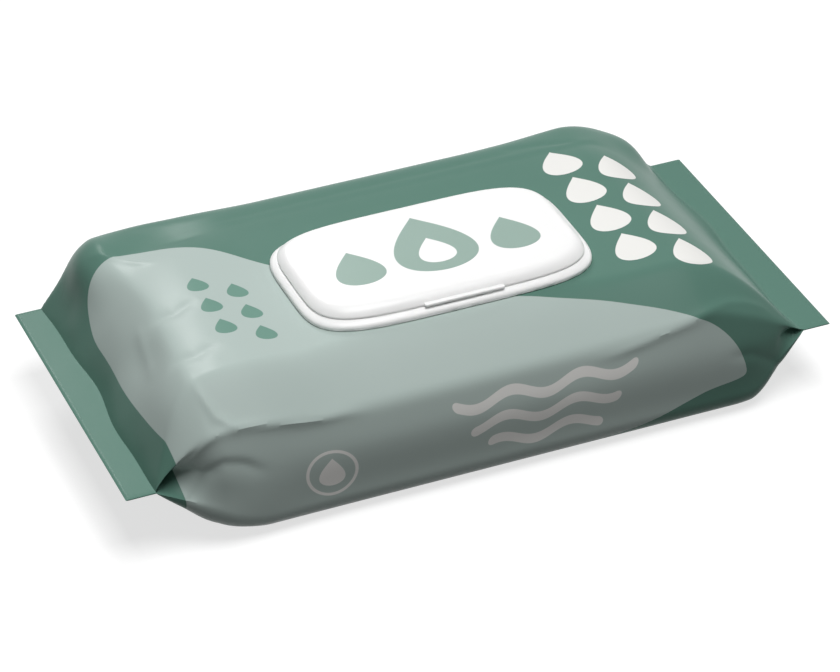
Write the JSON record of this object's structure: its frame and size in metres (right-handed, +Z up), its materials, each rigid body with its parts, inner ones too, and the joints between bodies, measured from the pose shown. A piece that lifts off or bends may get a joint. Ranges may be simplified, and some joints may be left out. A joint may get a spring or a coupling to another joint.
{
  "type": "wet wipes pack",
  "caption": "Soft flow-wrapped pack of wet wipes with flat end fins, tucked corners and a low flip-top closure of white plastic glued to its top.",
  "frame": {"origin": "on the table, under the middle of the pack", "axes": "+X along the pack from the left fin to the right fin, +Y towards the back where the lid is hinged, -Y the front with the thumb tab, +Z up"},
  "size_m": [0.24, 0.119, 0.0578],
  "materials": {
    "film": "satin-gloss printed wrapping film in muted green with a pale grey-sage field, softly creased",
    "label": "smooth pale peel-off label",
    "closure": "white moulded polypropylene, satin",
    "lid": "white moulded polypropylene, satin, with a sage printed mark"
  },
  "bodies": {
    "pack": {"film_pack": "film", "seal_label": "label", "lid_frame": "closure"},
    "lid": {"flip_lid": "lid"}
  },
  "joints": [
    {"name": "lid_hinge", "type": "hinge", "parent": "pack", "child": "lid", "pos_m": [0.0008, 0.01955, 0.05405], "axis": [-1, 0, 0], "range_deg": [0, 160]}
  ]
}
